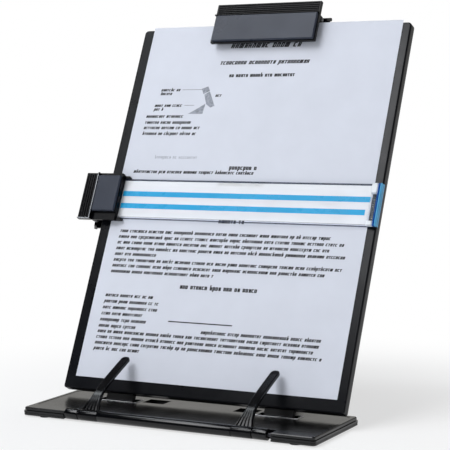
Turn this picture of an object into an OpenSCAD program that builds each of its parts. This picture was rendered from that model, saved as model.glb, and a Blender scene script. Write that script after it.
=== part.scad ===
// Desktop book stand: a leaning board on a shallow tray, with page fingers on the tray's front rail,
// a sprung clip on the board's top edge, a sliding line guide on its left edge and a rear leg.
// Frame: the origin lies on the desk under the board's hinge line, +X to the reader's right,
// +Y away from the reader, +Z up. Lengths are in millimetres.

/* [Board] */
// Thickness of the front shell
front_t = 4.6; // [4.2:0.1:6]
// Thickness of the back shell
back_t = 3.4; // [3.2:0.1:5]
// Radius of the board's upper corners
board_r = 3; // [2:0.5:8]
// Radius of the board's lower corners
board_low_r = 1.6; // [1.4:0.1:6]
// Width of the chamfer round the board's faces
board_edge = 1.2; // [0.6:0.1:1.8]
// Thickness of the shells' skins
skin_t = 2; // [1.6:0.1:2.1]
// Distance of the line cut in the board's back from its edges
back_line_in = 7; // [4:0.5:7]
// Width of the line cut in the board's back
back_line_w = 0.9; // [0.5:0.1:1.4]
// Depth of the line cut in the board's back
back_line_t = 0.4; // [0.2:0.1:0.6]
// Width of the shells' edge walls
board_wall = 2.5; // [2:0.1:4]
// Number of ribs across the inside of the board
board_ribs = 5; // [3:1:8]
// Lean of the board back from upright, in degrees
tilt = 25.4; // [18:0.1:30]

/* [Sheet] */
// Width of the sheet that the stand holds
sheet_w = 223.6; // [210:0.1:250]
// Height of the sheet
sheet_h = 304; // [280:1:340]
// Thickness of the sheet's solid
sheet_t = 0.4; // [0.3:0.05:0.5]
// Height of the sheet's lower edge above the board's lower edge
sheet_lift = 9.8; // [4:0.1:10]
// Height by which the sheet's upper edge passes the board's upper edge
sheet_over = 1.8; // [0:0.1:2.4]
// Distance from the board's left edge to the sheet's left edge
sheet_gap_l = 9.4; // [6:0.1:16]
// Distance from the board's right edge to the sheet's right edge
sheet_gap_r = 7; // [4:0.1:16]

/* [Tray] */
// Distance by which the tray passes the board at each side
tray_side = 1.4; // [0:0.1:10]
// Reach of the tray ahead of the hinge axis
tray_front = 52.9; // [48:0.1:64]
// Reach of the tray behind the hinge axis
tray_rear = 23.6; // [22:0.1:36]
// Height of the tray's shell above its bottom cover
shell_h = 4.6; // [4.6:0.1:6]
// Corner radius of the tray
tray_r = 2.8; // [2.2:0.1:5]
// Height of the tray's skirt above its bottom cover
skirt_h = 2; // [1.6:0.1:2.2]
// Width of the step from the skirt in to the upper walls
skirt_step = 0.8; // [0.5:0.1:1.2]
// Depth and height of the groove above the skirt
skirt_groove = 0.5; // [0.3:0.1:0.6]
// Height of the rubber feet
foot_h = 1; // [0.8:0.1:2]
// Diameter of the rubber feet
foot_d = 9; // [7:0.5:10]
// Length of the rubber foot under the hinge line
foot_mid_l = 28; // [16:1:36]
// Thickness of the bottom cover
cover_t = 1.4; // [1.2:0.1:1.8]
// Height of the seam between shell and cover
seam_h = 0.4; // [0.2:0.1:0.6]
// Thickness of the glossy top panel
panel_t = 1; // [0.8:0.1:1.2]
// Depth of the panel's face below the rim
panel_drop = 0.2; // [0.1:0.05:0.4]
// Corner radius of the top panel
panel_r = 6; // [3:0.5:9]
// Width of the rim round the panel
rim_w = 3.8; // [3:0.1:6]
// Thickness of the web under the panel
web_t = 1.4; // [1.2:0.1:1.8]
// Distance of the two open slots from the middle
slot_x = 39; // [30:0.5:39]
// Width of the open slots
slot_w = 18; // [12:0.5:18]
// Front-to-back size of the open slots
slot_d = 13; // [8:0.5:14]
// Distance of the slots' middle behind the hinge axis
slot_y = 7; // [5:0.5:8]

/* [Board hinge] */
// Distance of each hinge lug from the middle
lug_x = 68; // [68:0.5:76]
// Width of a hinge lug
lug_w = 24; // [18:0.5:24]
// Thickness of a lug's plate
lug_t = 3.6; // [3:0.1:3.6]
// Diameter of a lug's barrel
lug_d = 6.2; // [5.6:0.1:6.2]
// Diameter of the hinge pins
hinge_pin_d = 2.6; // [2:0.1:2.8]
// Distance from the board's lower edge down to the hinge axis
hinge_drop = 7.8; // [7.6:0.1:9]
// Open width of the tray's pocket on each side of a lug
pocket_side = 4.5; // [2:0.5:4.5]
// Length of pin held in the tray on each side of a pocket
pin_hold = 2.6; // [1.5:0.1:2.6]

/* [Rail and page fingers] */
// Diameter of the front rail
rail_d = 8.4; // [7.8:0.1:9]
// Gap between the rail's underside and the desk
rail_lift = 0.6; // [0.3:0.1:1]
// Width of the groove behind the rail
groove_w = 1.5; // [1:0.1:2.5]
// Distance of each page finger from the middle
finger_x = 64; // [50:1:70]
// Length of a finger's sleeve
sleeve_l = 16.4; // [12:0.1:18]
// Length of the fixed collar outside each sleeve
collar_l = 11; // [8:0.5:14]
// Open gap in the rail outside the right collar
rail_gap = 3.6; // [2:0.1:6]
// Open gap in the rail outside the left collar
rail_gap_l = 0.6; // [0.4:0.1:6]
// Thickness of the friction washer beside each sleeve
washer_t = 0.4; // [0.3:0.1:0.8]
// Diameter of the finger pins
finger_pin_d = 3; // [2.4:0.1:3.4]
// Width of a finger's arm
arm_w = 8; // [6:0.1:8.4]
// Thickness of a finger's arm
arm_t = 2.8; // [2.4:0.1:3.2]
// Reach of a finger from the rail's axis to its tip
finger_reach = 64.5; // [54:0.1:65]
// Reach of a finger from the rail's axis to its bend
bend_reach = 23; // [19:0.5:26]
// Angle of the finger's bend above the desk, in degrees
bend_a = 45; // [42:1:50]
// Angle of the finger's tip above the desk, in degrees
tip_a = 32.5; // [32.5:0.5:36]
// Turn of the right finger away from the board, against the left one, in degrees
right_turn = -1; // [-1:0.5:12]

/* [Leg] */
// Height of the leg's pivot along the board
leg_pivot_h = 170; // [150:1:190]
// Distance of the foot behind the leg's pivot
leg_spread = 78; // [70:1:90]
// Width of the leg at its pivot
leg_top_w = 52; // [44:1:60]
// Width of the leg at its foot
leg_foot_w = 82; // [70:1:88]
// Width of the leg's strut between its head and its foot
leg_waist_w = 26; // [20:1:36]
// Depth of the sunk panels in the strut's two faces
leg_sink = 1; // [0.4:0.1:1.4]
// Thickness of the leg's plate
leg_t = 5; // [4:0.1:6]
// Diameter of the leg's foot bar
leg_foot_d = 9; // [7:0.5:11]
// Thickness of the rubber strip under the foot bar
leg_pad_t = 1; // [0.6:0.1:1.5]
// Diameter of the leg's pin
leg_pin_d = 4; // [3:0.1:4.6]
// Diameter of the leg's hub
leg_hub_d = 8.4; // [8:0.1:10.5]
// Thickness of the bracket's ears and plate
bracket_t = 2.2; // [1.8:0.1:3]
// Height of the bracket
bracket_h = 34; // [32:1:44]

/* [Clips] */
// Height of a clip across the board's edge
clip_h = 35; // [32:0.5:38]
// Reach of a clip beyond the board's edge
clip_out = 17.5; // [16:0.5:20]
// Thickness of the front jaw's plate
jaw_t = 3; // [2.6:0.1:3.4]
// Thickness of the face plate on the front jaw
face_t = 2.4; // [1.6:0.1:2.6]
// Width of the top clip's ribbed grip band
grip_w = 10; // [7:0.5:12]
// Number of ribs on a grip band
grip_ribs = 5; // [2:1:5]
// Distance of the front jaw's inner side from the board's face, at the grip
jaw_gap_out = 4.4; // [4.2:0.1:6]
// Distance of the front jaw's inner side from the board's face, at the mouth
jaw_gap_in = 5; // [4:0.1:8]
// Width of the rubber lips
lip_w = 4; // [3:0.1:5]
// Distance of the clips' pivot beyond the board's edge
clip_pivot_out = 5.4; // [5.2:0.1:6.5]
// Diameter of the clips' pivot pins
clip_pin_d = 2.4; // [2:0.1:2.8]
// Diameter of the knuckles on the pivot pins
knuckle_d = 5; // [4.6:0.1:5.4]
// Width of a knuckle
knuckle_w = 4.5; // [3.5:0.1:5]
// Thickness of the rear jaw
rear_jaw_t = 1.8; // [1.4:0.1:2.2]
// Rise of the rear lever away from the board's edge, in degrees
lever_a = 28; // [20:1:32]
// Length of the rear lever from the pivot
lever_l = 11.5; // [11:0.5:14]
// Reach of the rear jaw down the board's back
rear_jaw_h = 17; // [13:0.5:22]
// Gap between the rear jaw and the board's back
rear_gap = 1.4; // [1:0.1:2]
// Length of the top clip along the board
clip_l = 93.5; // [80:0.5:110]
// Distance of the top clip's middle from the board's middle, to the left
clip_left = 3.2; // [0:0.1:20]
// Length by which a rear jaw passes its front jaw at each end
lever_over = 1.5; // [0.5:0.1:2.5]

/* [Line guide] */
// Length of the line guide's clip along the board
guide_l = 40; // [38:0.5:46]
// Width of the line guide's ribbed grip band
guide_grip_w = 12; // [8:0.5:14]
// Height of the line guide's middle along the board
guide_v = 158.4; // [140:0.1:200]
// Distance by which the guide's clip stands further out than the top clip
guide_shift = 1.5; // [0:0.1:3]
// Height of the clear ruler
ruler_h = 34; // [30:0.5:34]
// Thickness of the clear ruler
ruler_t = 2; // [1.6:0.1:2.4]
// Distance of the ruler's back from the board's face
ruler_off = 0.8; // [0.7:0.1:1.2]
// Length of the ruler's end held by the clip
ruler_held = 9; // [7:0.5:9]
// Reach of the ruler past the board's right edge
ruler_over = 1.4; // [0.5:0.1:3]
// Length of the thick end lug of the ruler
end_lug_l = 9; // [7:0.5:12]
// Thickness of the end lug in front of the ruler
end_lug_t = 3.2; // [2:0.1:4]
// Width of each blue stripe
stripe_w = 4.4; // [3:0.1:6]
// Distance from the ruler's upper edge to the middle of the upper stripe
stripe_top = 12.6; // [9:0.1:14]
// Distance between the stripes' middles
stripe_pitch = 10.4; // [8:0.1:12]
// Length by which the lower stripe ends before the upper one
stripe_short = 2.6; // [0:0.1:8]
// Thickness of the printed stripes
stripe_t = 0.15; // [0.1:0.05:0.3]
// Length of the holder's tabs along the ruler
holder_tab = 4.5; // [3:0.5:8]
// Height of the step at the lower end of the guide's face
guide_step = 6.8; // [4:0.1:9]

/* [Fits] */
// Running clearance of a turning bore, on the radius
run_gap = 0.04; // [0.03:0.01:0.06]
// Clearance of a fixed pin in its bore, on the radius
seat_gap = 0.02; // [0.01:0.01:0.03]
// Gap between moving neighbours along an axis
side_gap = 0.25; // [0.2:0.05:0.4]
// Gap between a lip and what it grips
grip_gap = 0.1; // [0.05:0.05:0.2]
// Width of the chamfer along moulded edges
edge_c = 0.6; // [0.3:0.1:0.9]
// Diameter of the screws' shanks
screw_d = 2.6; // [2:0.1:3]
// Diameter of the screws' heads
screw_head_d = 5; // [4:0.1:6]
// Height of the screws' heads
screw_head_h = 1; // [0.7:0.1:1.2]

/* [Hidden] */
$fn = 48;
eps = 0.01;
board_t = front_t + back_t;
board_w = sheet_gap_l + sheet_w + sheet_gap_r;
board_h = sheet_lift + sheet_h - sheet_over;
tray_w = board_w + 2 * tray_side;

// Heights in the tray, from the desk up
shell_z = foot_h + cover_t;
tray_h = shell_z + shell_h;
recess_z = tray_h - panel_drop - panel_t;
web_z = recess_z - web_t;
pin_floor = 0.6;
hinge_z = shell_z + pin_floor + hinge_pin_d / 2;
hinge_inset = board_t / 2;

// Front rail
rail_y = rail_d / 2 - tray_front;
rail_z = rail_lift + rail_d / 2;
rail_back = rail_y + rail_d / 2;
deck_front = rail_back + groove_w;
panel_front = deck_front + 1.6;
sleeve_in = finger_x - sleeve_l / 2;
sleeve_out = finger_x + sleeve_l / 2;
collar_in = sleeve_out + washer_t + side_gap;
collar_out = collar_in + collar_l;
rail_end = collar_out + rail_gap;
rail_end_l = collar_out + rail_gap_l;
pin_in = sleeve_in - 6;
pin_out = rail_end + 6;

// Tray pockets, feet and screws
tray_wall = 2.4;
pocket_in = lug_x - lug_w / 2 - pocket_side;
pocket_out = lug_x + lug_w / 2 + pocket_side;
pocket_front = -(lug_d / 2 + 0.7);
pocket_back = 6.4;
foot_front = [(rail_end + tray_w / 2) / 2, foot_d / 2 + 1.6 - tray_front];
foot_rear = [tray_w / 2 - 23, tray_rear - foot_d / 2 - 3];
tray_screw_in = 8;
tray_screw_mid = 20;
tray_screw_xs = [tray_screw_in - tray_w / 2, -tray_screw_mid, tray_screw_mid, tray_w / 2 - tray_screw_in];
tray_screw_ys = [panel_front + 6, tray_rear - 7];

// Board
lug_tail = 16;
lug_screw_z = 9;
rib_t = 1.2;
board_screw_side = 9;
board_screw_end = 24;
board_screw_drop = 40;
board_screw_xs = [board_screw_side - board_w / 2, 0, board_w / 2 - board_screw_side];
board_screw_zs = [board_screw_end, board_h / 2 - board_screw_drop, board_h - board_screw_end];

// Leg, seen from the side
leg_pivot_back = board_t + bracket_t + leg_hub_d / 2 + 0.3;
leg_pivot_y = (leg_pivot_back - hinge_inset) * cos(tilt) + (leg_pivot_h + hinge_drop) * sin(tilt);
leg_pivot_z = hinge_z + (leg_pivot_h + hinge_drop) * cos(tilt) - (leg_pivot_back - hinge_inset) * sin(tilt);
leg_drop = leg_pivot_z - leg_foot_d / 2 - leg_pad_t;
leg_l = sqrt(leg_drop * leg_drop + leg_spread * leg_spread);
leg_a = atan2(leg_spread, leg_drop);
ear_in = leg_top_w / 2 + side_gap;
ear_out = ear_in + bracket_t;
bracket_screw_x = ear_out + 5;
bracket_half = bracket_screw_x + 4.5;
leg_neck = leg_hub_d / 2 + 0.8;
leg_shoulder = leg_neck + 34;
leg_flare = 24;
leg_heel = 6;
leg_border = 2.6;
leaf_t = 0.5;
leaf_w = 10;

// Clip section, in a clip's own frame: Z away from the board's edge, Y from front to back
pivot_y = 2;
mouth_z = clip_out - clip_h;
jaw_lean = atan2(jaw_gap_in - jaw_gap_out, clip_h);
rear_y = board_t + rear_gap;
rear_top = clip_pivot_out + (rear_y - pivot_y) * tan(lever_a);
knuckle_inset = 1.5;
pad_in = 2;
pad_h = 6;
spring_w = 11;
spring_wire = 0.8;
lever_bead = rear_jaw_t + 1;

// Line guide
guide_edge = -board_w / 2 - guide_shift;
mouth_x = guide_edge - mouth_z;
ruler_in = mouth_x - ruler_held;
ruler_out = board_w / 2 + ruler_over;
ruler_top = guide_v + ruler_h / 2;
ruler_face = ruler_off + ruler_t;
stripe_end = ruler_out - end_lug_l;

// Shared shapes

module rect(x0, y0, x1, y1) {
    translate([x0, y0]) square([x1 - x0, y1 - y0]);
}

// Rectangle with round corners
module round_rect(x0, y0, x1, y1, r) {
    rect(x0 + r, y0, x1 - r, y1);
    rect(x0, y0 + r, x1, y1 - r);
    for (x = [x0 + r, x1 - r], y = [y0 + r, y1 - r]) translate([x, y]) circle(r);
}

// Slab with round corners, and a chamfer round its upper face
module soft_slab(x0, y0, x1, y1, t, r, c, low_r = 0) {
    low = low_r > 0 ? low_r : r;
    hull() {
        linear_extrude(t - c) corner_dots(x0, y0, x1, y1, r, low);
        linear_extrude(t) corner_dots(x0 + c, y0 + c, x1 - c, y1 - c, max(r - c, 0.2), max(low - c, 0.2));
    }
}

module corner_dots(x0, y0, x1, y1, r, low) {
    for (x = [x0 + r, x1 - r]) translate([x, y1 - r]) circle(r, $fn = 32);
    for (x = [x0 + low, x1 - low]) translate([x, y0 + low]) circle(low, $fn = 32);
}

module bar_x(x0, x1, d) {
    translate([x0, 0, 0]) rotate([0, 90, 0]) cylinder(h = x1 - x0, d = d);
}

// Tube along X around a bore
module tube_x(x0, x1, d, bore) {
    difference() {
        bar_x(x0, x1, d);
        bar_x(x0 - 1, x1 + 1, bore);
    }
}

module both_sides() {
    children();
    mirror([1, 0, 0]) children();
}

// Stands a flat drawing up: its Y becomes Z and its height goes back along Y
module stand_up() {
    rotate([90, 0, 0]) mirror([0, 0, 1]) children();
}

// From the board's own frame (Y back from its face, Z up from its lower edge) to the stand's frame
module on_board() {
    translate([0, 0, hinge_z]) rotate([-tilt, 0, 0]) translate([0, -hinge_inset, hinge_drop]) children();
}

module at_top() {
    on_board() translate([-clip_left, 0, board_h]) children();
}

module at_left() {
    on_board() translate([guide_edge, 0, guide_v]) rotate([0, -90, 0]) children();
}

module at_rail(x = 0) {
    translate([x, rail_y, rail_z]) children();
}

// The leg hangs from its pivot, and its foot stands back from under it
module at_leg() {
    translate([0, leg_pivot_y, leg_pivot_z]) rotate([leg_a, 0, 0]) children();
}

module at_leg_pivot() {
    on_board() translate([0, leg_pivot_back, leg_pivot_h]) children();
}

// Tray

module tray_outline(inset) {
    difference() {
        round_rect(inset - tray_w / 2, inset - tray_front, tray_w / 2 - inset, tray_rear - inset, tray_r);
        rect(-rail_end_l - inset, -tray_front - 1, rail_end + inset, rail_back + inset);
    }
}

module tray_openings() {
    linear_extrude(3 * tray_h, center = true) both_sides() {
        rect(pocket_in, pocket_front, pocket_out, pocket_back);
        rect(slot_x - slot_w / 2, slot_y - slot_d / 2, slot_x + slot_w / 2, slot_y + slot_d / 2);
    }
}

// Space round the sleeves, the washers, the collars and the open gaps
module rail_windows() {
    at_rail() bar_x(sleeve_in - side_gap, rail_end, rail_d + 1.6);
    at_rail() bar_x(-rail_end_l, side_gap - sleeve_in, rail_d + 1.6);
}

module tray_screw_places() {
    for (x = tray_screw_xs, y = tray_screw_ys) translate([x, y, 0]) children();
}

// Hollow under the web, clear of the walls round the openings and of the screw bosses
module tray_cavity() {
    translate([0, 0, shell_z - eps]) linear_extrude(web_z - shell_z + eps) difference() {
        round_rect(tray_wall - tray_w / 2, deck_front + tray_wall, tray_w / 2 - tray_wall,
                   tray_rear - tray_wall, 1);
        both_sides() {
            rect(pocket_in - pin_hold - 1, pocket_front - 1.6, pocket_out + pin_hold + 1, pocket_back + 1.6);
            rect(slot_x - slot_w / 2 - 1.6, slot_y - slot_d / 2 - 1.6,
                 slot_x + slot_w / 2 + 1.6, slot_y + slot_d / 2 + 1.6);
        }
        tray_screw_places() circle(d = screw_d + 4);
    }
}

module tray_shell() {
    color([0.17, 0.17, 0.18]) difference() {
        union() {
            translate([0, 0, shell_z]) linear_extrude(skirt_h) tray_outline(0);
            translate([0, 0, shell_z]) linear_extrude(skirt_h + skirt_groove)
                tray_outline(skirt_step + skirt_groove);
            intersection() {
                translate([0, 0, shell_z + skirt_h + skirt_groove])
                    soft_slab(skirt_step - tray_w / 2, skirt_step - tray_front, tray_w / 2 - skirt_step,
                              tray_rear - skirt_step, shell_h - skirt_h - skirt_groove,
                              tray_r - skirt_step, edge_c);
                linear_extrude(2 * tray_h) tray_outline(0);
            }
            at_rail() bar_x(side_gap - sleeve_in, sleeve_in - side_gap, rail_d);
            translate([0, 0, shell_z]) linear_extrude(web_z - shell_z)
                rect(side_gap - sleeve_in, rail_y, sleeve_in - side_gap, deck_front);
        }
        translate([0, 0, recess_z]) linear_extrude(tray_h)
            round_rect(rim_w - tray_w / 2, panel_front, tray_w / 2 - rim_w, tray_rear - rim_w, panel_r);
        translate([0, 0, web_z]) linear_extrude(tray_h) rect(-rail_end_l, rail_back, rail_end, deck_front);
        translate([0, 0, shell_z - eps]) linear_extrude(seam_h) difference() {
            tray_outline(-1);
            tray_outline(0.7);
        }
        tray_cavity();
        rail_windows();
        tray_openings();
        both_sides() {
            translate([0, 0, hinge_z])
                bar_x(pocket_in - pin_hold, pocket_out + pin_hold, hinge_pin_d + 2 * seat_gap);
            at_rail() bar_x(pin_in, pin_out, finger_pin_d + 2 * seat_gap);
        }
        tray_screw_places() translate([0, 0, shell_z - eps]) cylinder(h = web_z - shell_z, d = screw_d);
    }
}

module tray_panel() {
    color([0.2, 0.2, 0.21]) difference() {
        translate([0, 0, recess_z]) linear_extrude(panel_t)
            round_rect(rim_w - tray_w / 2 + side_gap, panel_front + side_gap,
                       tray_w / 2 - rim_w - side_gap, tray_rear - rim_w - side_gap, panel_r - side_gap);
        tray_openings();
    }
}

module tray_cover() {
    color([0.13, 0.13, 0.14]) difference() {
        translate([0, 0, foot_h]) linear_extrude(cover_t) tray_outline(0.15);
        tray_openings();
        rail_windows();
        tray_screw_places() {
            cylinder(h = tray_h, d = screw_d + 2 * seat_gap);
            translate([0, 0, foot_h - eps]) cylinder(h = screw_head_h + eps, d = screw_head_d + 0.2);
        }
    }
}

module tray_feet() {
    color([0.08, 0.08, 0.08]) {
        both_sides() for (place = [foot_front, foot_rear]) translate(place) cylinder(h = foot_h, d = foot_d);
        translate([-foot_mid_l / 2, -foot_d / 2, 0]) cube([foot_mid_l, foot_d, foot_h]);
    }
}

module tray_screws() {
    color("silver") tray_screw_places() translate([0, 0, foot_h]) {
        cylinder(h = screw_head_h, d = screw_head_d);
        cylinder(h = web_z - foot_h - 0.4, d = screw_d);
    }
}

module rail_collars() {
    color([0.2, 0.2, 0.21]) both_sides() at_rail()
        tube_x(collar_in, collar_out, rail_d, finger_pin_d + 2 * seat_gap);
}

module finger_pins() {
    color("silver") both_sides() at_rail() bar_x(pin_in + eps, pin_out - eps, finger_pin_d);
}

module hinge_pins() {
    color("silver") both_sides() translate([0, 0, hinge_z])
        bar_x(pocket_in - pin_hold + eps, pocket_out + pin_hold - eps, hinge_pin_d);
}

module finger_washers() {
    start = sleeve_out + side_gap / 2;
    color([0.6, 0.6, 0.62]) both_sides() at_rail()
        tube_x(start, start + washer_t, rail_d - 1.2, finger_pin_d + 2 * seat_gap);
}

// Page finger: a sleeve on the rail's pin, a ribbed fan up to the bend and a flat arm with a round tip
module finger(turn) {
    bend = bend_reach * [cos(bend_a), sin(bend_a)];
    tip = finger_reach * [cos(tip_a), sin(tip_a)];
    arm_a = atan2(tip[1] - bend[1], tip[0] - bend[0]);
    arm_l = norm(tip - bend) - arm_w / 2;
    fan_w = sleeve_l - 2;
    rotate([turn, 0, 0]) difference() {
        union() {
            bar_x(-sleeve_l / 2, sleeve_l / 2, rail_d);
            hull() {
                rotate([bend_a, 0, 0]) translate([-fan_w / 2, 2, -arm_t / 2]) cube([fan_w, 2, arm_t]);
                translate([0, bend[0], bend[1]]) rotate([arm_a, 0, 0])
                    translate([0.1 - arm_w / 2, -0.5, 0.1 - arm_t / 2]) cube([arm_w - 0.2, 1, arm_t - 0.2]);
            }
            for (s = [-1, 0, 1]) hull() {
                rotate([bend_a, 0, 0]) translate([s * (fan_w / 2 - 1.2) - 0.5, rail_d / 2 - 0.4, 0])
                    cube([1, 1, arm_t / 2 + 0.8]);
                translate([s * (arm_w / 2 - 0.9) - 0.4, bend[0], bend[1]]) rotate([arm_a, 0, 0])
                    cube([0.8, 1, arm_t / 2 + 0.3]);
            }
            translate([0, bend[0], bend[1]]) rotate([arm_a, 0, 0]) finger_arm(arm_l);
        }
        bar_x(-sleeve_l, sleeve_l, finger_pin_d + 2 * run_gap);
    }
}

module finger_arm(l) {
    border = 1.2;
    difference() {
        translate([0, 0, -arm_t / 2]) linear_extrude(arm_t) {
            rect(-arm_w / 2, 0, arm_w / 2, l);
            translate([0, l]) circle(d = arm_w);
        }
        translate([0, 0, arm_t / 2 - 0.4]) linear_extrude(arm_t) {
            rect(border - arm_w / 2, 3, arm_w / 2 - border, l);
            translate([0, l]) circle(d = arm_w - 2 * border);
        }
    }
}

module finger_left() {
    color([0.16, 0.16, 0.17]) at_rail(-finger_x) finger(0);
}

module finger_right() {
    color([0.16, 0.16, 0.17]) at_rail(finger_x) finger(right_turn);
}

// Board

module board_outline_slab(t) {
    soft_slab(-board_w / 2, 0, board_w / 2, board_h, t, board_r, board_edge, board_low_r);
}

// Room for the lugs' tails between the shells, and the notches that they leave by
module lug_rooms() {
    both_sides() translate([lug_x - lug_w / 2 - seat_gap, hinge_inset - lug_t / 2 - seat_gap, -1])
        cube([lug_w + 2 * seat_gap, lug_t + 2 * seat_gap, lug_tail + 1 + seat_gap]);
}

module board_screw_places() {
    for (x = board_screw_xs, z = board_screw_zs) translate([x, 0, z]) rotate([-90, 0, 0]) children();
}

module lug_screw_places() {
    both_sides() translate([lug_x, 0, lug_screw_z]) rotate([-90, 0, 0]) children();
}

module bracket_screw_places() {
    for (x = [-bracket_screw_x, bracket_screw_x], dz = [6 - bracket_h / 2, bracket_h / 2 - 6])
        translate([x, 0, leg_pivot_h + dz]) rotate([-90, 0, 0]) children();
}

module board_bosses() {
    board_screw_places() cylinder(h = board_t, d = screw_d + 4);
    bracket_screw_places() cylinder(h = board_t, d = screw_d + 4);
}

module board_front() {
    color([0.16, 0.16, 0.17]) on_board() difference() {
        translate([0, front_t, 0]) rotate([90, 0, 0]) board_outline_slab(front_t);
        difference() {
            translate([board_wall - board_w / 2, skin_t, board_wall])
                cube([board_w - 2 * board_wall, front_t, board_h - 2 * board_wall]);
            for (i = [1:board_ribs]) translate([-board_w / 2, 0, i * board_h / (board_ribs + 1) - rib_t / 2])
                cube([board_w, front_t, rib_t]);
            board_bosses();
        }
        lug_rooms();
        board_screw_places() translate([0, 0, skin_t]) cylinder(h = front_t, d = screw_d);
        bracket_screw_places() translate([0, 0, skin_t]) cylinder(h = front_t, d = screw_d);
    }
}

module board_back() {
    color([0.14, 0.14, 0.15]) on_board() difference() {
        translate([0, front_t, 0]) stand_up() board_outline_slab(back_t);
        difference() {
            translate([board_wall - board_w / 2, front_t - 1, board_wall])
                cube([board_w - 2 * board_wall, back_t + 1 - skin_t, board_h - 2 * board_wall]);
            board_bosses();
        }
        translate([0, board_t - back_line_t, 0]) stand_up() linear_extrude(board_t) back_line();
        lug_rooms();
        board_screw_places() back_screw_bore();
        lug_screw_places() back_screw_bore();
        bracket_screw_places() cylinder(h = board_t + 1, d = screw_d + 2 * seat_gap);
    }
}

// Line cut round the board's back
module back_line() {
    far = back_line_in + back_line_w;
    difference() {
        rect(back_line_in - board_w / 2, back_line_in, board_w / 2 - back_line_in, board_h - back_line_in);
        rect(far - board_w / 2, far, board_w / 2 - far, board_h - far);
    }
}

module back_screw_bore() {
    cylinder(h = board_t + 1, d = screw_d + 2 * seat_gap);
    translate([0, 0, board_t - screw_head_h]) cylinder(h = board_t, d = screw_head_d + 0.2);
}

module back_screw(tip) {
    translate([0, 0, board_t - screw_head_h]) cylinder(h = screw_head_h, d = screw_head_d);
    translate([0, 0, tip]) cylinder(h = board_t - tip - eps, d = screw_d);
}

module board_screws() {
    color("silver") on_board() {
        board_screw_places() back_screw(skin_t + 0.2);
        lug_screw_places() back_screw(hinge_inset - lug_t / 2 + 0.2);
    }
}

module hinge_lugs() {
    color([0.15, 0.15, 0.16]) on_board() difference() {
        both_sides() {
            translate([lug_x - lug_w / 2, hinge_inset - lug_t / 2, -hinge_drop])
                cube([lug_w, lug_t, hinge_drop + lug_tail]);
            translate([0, hinge_inset, -hinge_drop]) bar_x(lug_x - lug_w / 2, lug_x + lug_w / 2, lug_d);
        }
        translate([0, hinge_inset, -hinge_drop]) bar_x(-board_w, board_w, hinge_pin_d + 2 * run_gap);
        lug_screw_places() cylinder(h = board_t, d = screw_d);
    }
}

module sheet() {
    color([0.84, 0.85, 0.89]) on_board()
        translate([board_w / 2 - sheet_gap_r - sheet_w, -sheet_t, sheet_lift]) cube([sheet_w, sheet_t, sheet_h]);
}

// Leg and its bracket

module leg_bracket() {
    color([0.15, 0.15, 0.16]) difference() {
        union() {
            on_board() translate([0, board_t, leg_pivot_h]) stand_up() linear_extrude(bracket_t)
                round_rect(-bracket_half, -bracket_h / 2, bracket_half, bracket_h / 2, 3);
            at_leg_pivot() both_sides() {
                bar_x(ear_in, ear_out, leg_hub_d);
                translate([ear_in, board_t + bracket_t - leg_pivot_back, -leg_hub_d / 2])
                    cube([bracket_t, leg_pivot_back - board_t - bracket_t, leg_hub_d]);
            }
        }
        at_leg_pivot() bar_x(-ear_out - 1, ear_out + 1, leg_pin_d + 2 * seat_gap);
        on_board() bracket_screw_places() cylinder(h = 2 * board_t, d = screw_d + 2 * seat_gap);
    }
}

module bracket_screws() {
    color("silver") on_board() bracket_screw_places() {
        translate([0, 0, board_t + bracket_t]) cylinder(h = screw_head_h, d = screw_head_d);
        translate([0, 0, skin_t + 0.2]) cylinder(h = board_t + bracket_t - skin_t, d = screw_d);
    }
}

module leg_pin() {
    color("silver") at_leg_pivot() {
        bar_x(-ear_out, ear_out, leg_pin_d);
        both_sides() bar_x(ear_out, ear_out + 1.2, leg_pin_d + 2);
    }
}

// Bent leaf that drags on the leg's hub
module leg_spring() {
    foot = leg_hub_d / 2 + 4;
    color([0.7, 0.7, 0.72]) on_board()
        translate([-leaf_w / 2, board_t + bracket_t, leg_pivot_h + foot]) {
            cube([leaf_w, leaf_t, bracket_h / 2 - foot - 1]);
            rotate([42, 0, 0]) mirror([0, 0, 1]) cube([leaf_w, leaf_t, 4.2]);
        }
}

// A strut that widens to its hub above and to its foot bar below
module leg_outline() {
    head = leg_top_w / 2;
    waist = leg_waist_w / 2;
    foot = leg_foot_w / 2;
    polygon([
        [-head, 0], [head, 0], [head, -leg_neck], [waist, -leg_shoulder],
        [waist, leg_flare - leg_l], [foot, leg_heel - leg_l], [foot, -leg_l],
        [-foot, -leg_l], [-foot, leg_heel - leg_l], [-waist, leg_flare - leg_l],
        [-waist, -leg_shoulder], [-head, -leg_neck]
    ]);
}

// Sunk panels in the strut's front and back faces
module leg_panels() {
    half = leg_waist_w / 2 - leg_border;
    for (y = [-leg_t / 2 - 1, leg_t / 2 - leg_sink]) translate([0, y, 0]) stand_up()
        linear_extrude(leg_sink + 1) round_rect(-half, leg_flare + 2 - leg_l, half, -leg_shoulder - 2, 3);
}

module leg_frame() {
    color([0.15, 0.15, 0.16]) at_leg() difference() {
        union() {
            translate([0, -leg_t / 2, 0]) stand_up() linear_extrude(leg_t) leg_outline();
            bar_x(-leg_top_w / 2, leg_top_w / 2, leg_hub_d);
            translate([0, 0, -leg_l]) bar_x(-leg_foot_w / 2, leg_foot_w / 2, leg_foot_d);
        }
        leg_panels();
        bar_x(-leg_top_w, leg_top_w, leg_pin_d + 2 * run_gap);
    }
}

module leg_foot_strip() {
    half = leg_foot_w / 2 - 3;
    color([0.08, 0.08, 0.08]) at_leg() translate([0, 0, -leg_l]) difference() {
        tube_x(-half, half, leg_foot_d + 2 * leg_pad_t, leg_foot_d);
        translate([-leg_foot_w, -leg_foot_w / 2, 0]) cube([2 * leg_foot_w, leg_foot_w, leg_foot_w]);
    }
}

// Clips: both have one section, drawn along X with the board's edge at Z = 0

module knuckle(from, to, d) {
    translate([0, pivot_y, clip_pivot_out]) bar_x(from, to, d);
}

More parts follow.
